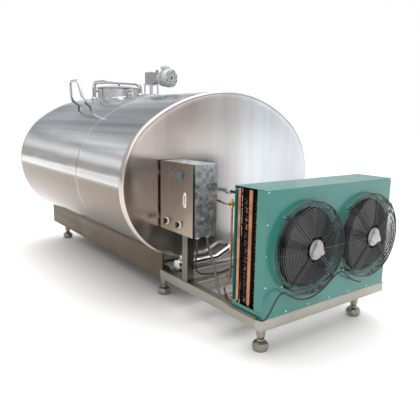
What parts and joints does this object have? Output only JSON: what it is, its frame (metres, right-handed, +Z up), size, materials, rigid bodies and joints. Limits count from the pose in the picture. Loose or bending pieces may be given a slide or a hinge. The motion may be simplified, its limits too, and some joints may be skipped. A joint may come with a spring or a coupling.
{
  "type": "bulk milk tank",
  "caption": "Horizontal oval insulated steel milk cooling tank on legs, with top manhole and agitator drive, control cabinet and a twin-fan green condensing unit.",
  "frame": {"origin": "on the floor, midway along and across the whole machine", "axes": "+X across, to the right seen from the cooling unit; +Y from the cooling unit to the tank's rear; +Z up"},
  "size_m": [1.8496, 3.7, 1.871],
  "materials": {
    "polished_jacket": "bright drawn stainless sheet",
    "brushed_end": "brushed stainless sheet",
    "vessel_steel": "smooth stainless sheet",
    "foam": "rigid foam",
    "frame_steel": "satin stainless tube",
    "brushed_skirt": "brushed stainless sheet",
    "foot_steel": "satin turned stainless",
    "top_steel": "polished stainless",
    "black_rubber": "moulded",
    "black_plastic": "moulded",
    "clamp_steel": "turned",
    "gear_paint": "smooth grey paint",
    "gear_steel": "machined",
    "motor_paint": "light grey paint",
    "polished_pipe": "mirror polished stainless",
    "valve_steel": "polished",
    "green_paint": "smooth teal green paint",
    "screw_zinc": "zinc plated",
    "coil_fins": "black coated fins",
    "copper": "drawn copper tube",
    "fan_black": "moulded",
    "cast_aluminium": "die cast",
    "guard_black": "black coated wire",
    "compressor_black": "black paint",
    "brass": "machined brass",
    "pipe_sleeve": "black foam sleeve",
    "gland_white": "moulded",
    "post_steel": "brushed stainless tube",
    "galvanised": "spangled galvanised sheet",
    "brushed_door": "brushed stainless sheet",
    "display_black": "moulded",
    "key_grey": "moulded",
    "fitting_white": "moulded",
    "lock_chrome": "plated",
    "switchgear_grey": "moulded",
    "conduit_grey": "ribbed conduit",
    "cable_black": "cable jacket"
  },
  "bodies": {
    "tank": {"cabinet_post": "post_steel", "cabinet_shell": "galvanised", "case_screws": "screw_zinc", "case_top": "green_paint", "case_tray": "green_paint", "cleaning_pipe": "polished_pipe", "coil_headers": "copper", "compressor": "compressor_black", "compressor_cable": "cable_black", "compressor_plate": "frame_steel", "cross_beams": "frame_steel", "drive_stand": "top_steel", "fan_cable": "cable_black", "fan_conduit": "conduit_grey", "fan_guards": "guard_black", "fan_motor_noses": "cast_aluminium", "fan_panel": "green_paint", "feet": "foot_steel", "fin_block": "coil_fins", "foam_insulation": "foam", "frame_rails": "frame_steel", "gear_case": "gear_paint", "glands": "gland_white", "grab_rail": "polished_pipe", "jacket_barrel": "polished_jacket", "jacket_end_caps": "brushed_end", "king_valve": "brass", "legs": "foot_steel", "liquid_pipes": "copper", "liquid_receiver": "compressor_black", "manhole_neck": "top_steel", "manhole_seal": "black_rubber", "milk_vessel": "vessel_steel", "motor_fan_cowl": "motor_paint", "motor_housing": "motor_paint", "outlet_pipe": "polished_pipe", "outlet_valve_body": "valve_steel", "return_bends": "copper", "side_skirts": "brushed_skirt", "suction_pipe": "pipe_sleeve", "switchgear": "switchgear_grey", "tank_base": "frame_steel"},
    "manhole_lid": {"manhole_lid": "top_steel", "lid_knob": "black_plastic"},
    "swing_clamp_1": {"swing_clamp_1": "clamp_steel"},
    "swing_clamp_2": {"swing_clamp_2": "clamp_steel"},
    "agitator": {"agitator": "top_steel"},
    "bevel_pinion": {"bevel_pinion": "gear_steel"},
    "motor_rotor": {"motor_rotor": "gear_steel"},
    "fan_1": {"fan_impeller_1": "fan_black"},
    "fan_2": {"fan_impeller_2": "fan_black"},
    "cabinet_door": {"cabinet_door": "brushed_door", "display_unit": "display_black", "door_fittings": "fitting_white"},
    "lock_lever": {"lock_lever": "lock_chrome"},
    "selector_knob_1": {"selector_knob_1": "black_plastic"},
    "selector_knob_2": {"selector_knob_2": "black_plastic"},
    "display_key_1": {"display_key_1": "key_grey"},
    "display_key_2": {"display_key_2": "key_grey"},
    "outlet_lever": {"outlet_valve_lever": "valve_steel"}
  },
  "joints": [
    {"name": "lid_hinge", "type": "hinge", "parent": "tank", "child": "manhole_lid", "pos_m": [0.23209, 1.359, 1.698], "axis": [-0.5, 0.866, 0], "range_deg": [0, 110]},
    {"name": "clamp_1_swing", "type": "hinge", "parent": "tank", "child": "swing_clamp_1", "pos_m": [-0.23209, 1.359, 1.672], "axis": [0.5, 0.866, 0], "range_deg": [0, 120]},
    {"name": "clamp_2_swing", "type": "hinge", "parent": "tank", "child": "swing_clamp_2", "pos_m": [0, 0.957, 1.672], "axis": [-1, 0, 0], "range_deg": [0, 120]},
    {"name": "agitator_spin", "type": "hinge", "parent": "tank", "child": "agitator", "pos_m": [0, 0.525, 1.2], "axis": [0, 0, 1], "continuous": true},
    {"name": "pinion_spin", "type": "hinge", "parent": "tank", "child": "bevel_pinion", "pos_m": [0, 0.525, 1.762], "axis": [0.2588, -0.9659, 0], "continuous": true},
    {"name": "motor_spin", "type": "hinge", "parent": "tank", "child": "motor_rotor", "pos_m": [0, 0.525, 1.762], "axis": [0.2588, -0.9659, 0], "continuous": true},
    {"name": "fan_1_spin", "type": "hinge", "parent": "tank", "child": "fan_1", "pos_m": [-0.245, -1.75, 0.656], "axis": [0, -1, 0], "continuous": true},
    {"name": "fan_2_spin", "type": "hinge", "parent": "tank", "child": "fan_2", "pos_m": [0.318, -1.75, 0.656], "axis": [0, -1, 0], "continuous": true},
    {"name": "cabinet_door_hinge", "type": "hinge", "parent": "tank", "child": "cabinet_door", "pos_m": [-0.6175, -0.69, 0.861], "axis": [0, 0, -1], "range_deg": [0, 72]},
    {"name": "door_lock_turn", "type": "hinge", "parent": "cabinet_door", "child": "lock_lever", "pos_m": [-0.625, -1.008, 0.862], "axis": [-1, 0, 0], "range_deg": [0, 90]},
    {"name": "selector_1_turn", "type": "hinge", "parent": "cabinet_door", "child": "selector_knob_1", "pos_m": [-0.625, -0.782, 0.683], "axis": [-1, 0, 0], "range_deg": [-45, 45]},
    {"name": "selector_2_turn", "type": "hinge", "parent": "cabinet_door", "child": "selector_knob_2", "pos_m": [-0.625, -0.937, 0.683], "axis": [-1, 0, 0], "range_deg": [-45, 45]},
    {"name": "display_key_1_press", "type": "slide", "parent": "cabinet_door", "child": "display_key_1", "axis": [1, 0, 0], "range_m": [0, 0.001], "stiffness_N_per_m": 300},
    {"name": "display_key_2_press", "type": "slide", "parent": "cabinet_door", "child": "display_key_2", "axis": [1, 0, 0], "range_m": [0, 0.001], "stiffness_N_per_m": 300},
    {"name": "outlet_lever_turn", "type": "hinge", "parent": "tank", "child": "outlet_lever", "pos_m": [-0.477, -0.745, 0.3245], "axis": [0, 0, -1], "range_deg": [0, 90]}
  ],
  "couplings": [
    {"joint": "pinion_spin", "follows": "agitator_spin", "ratio": 1.5},
    {"joint": "motor_spin", "follows": "agitator_spin", "ratio": 30}
  ]
}
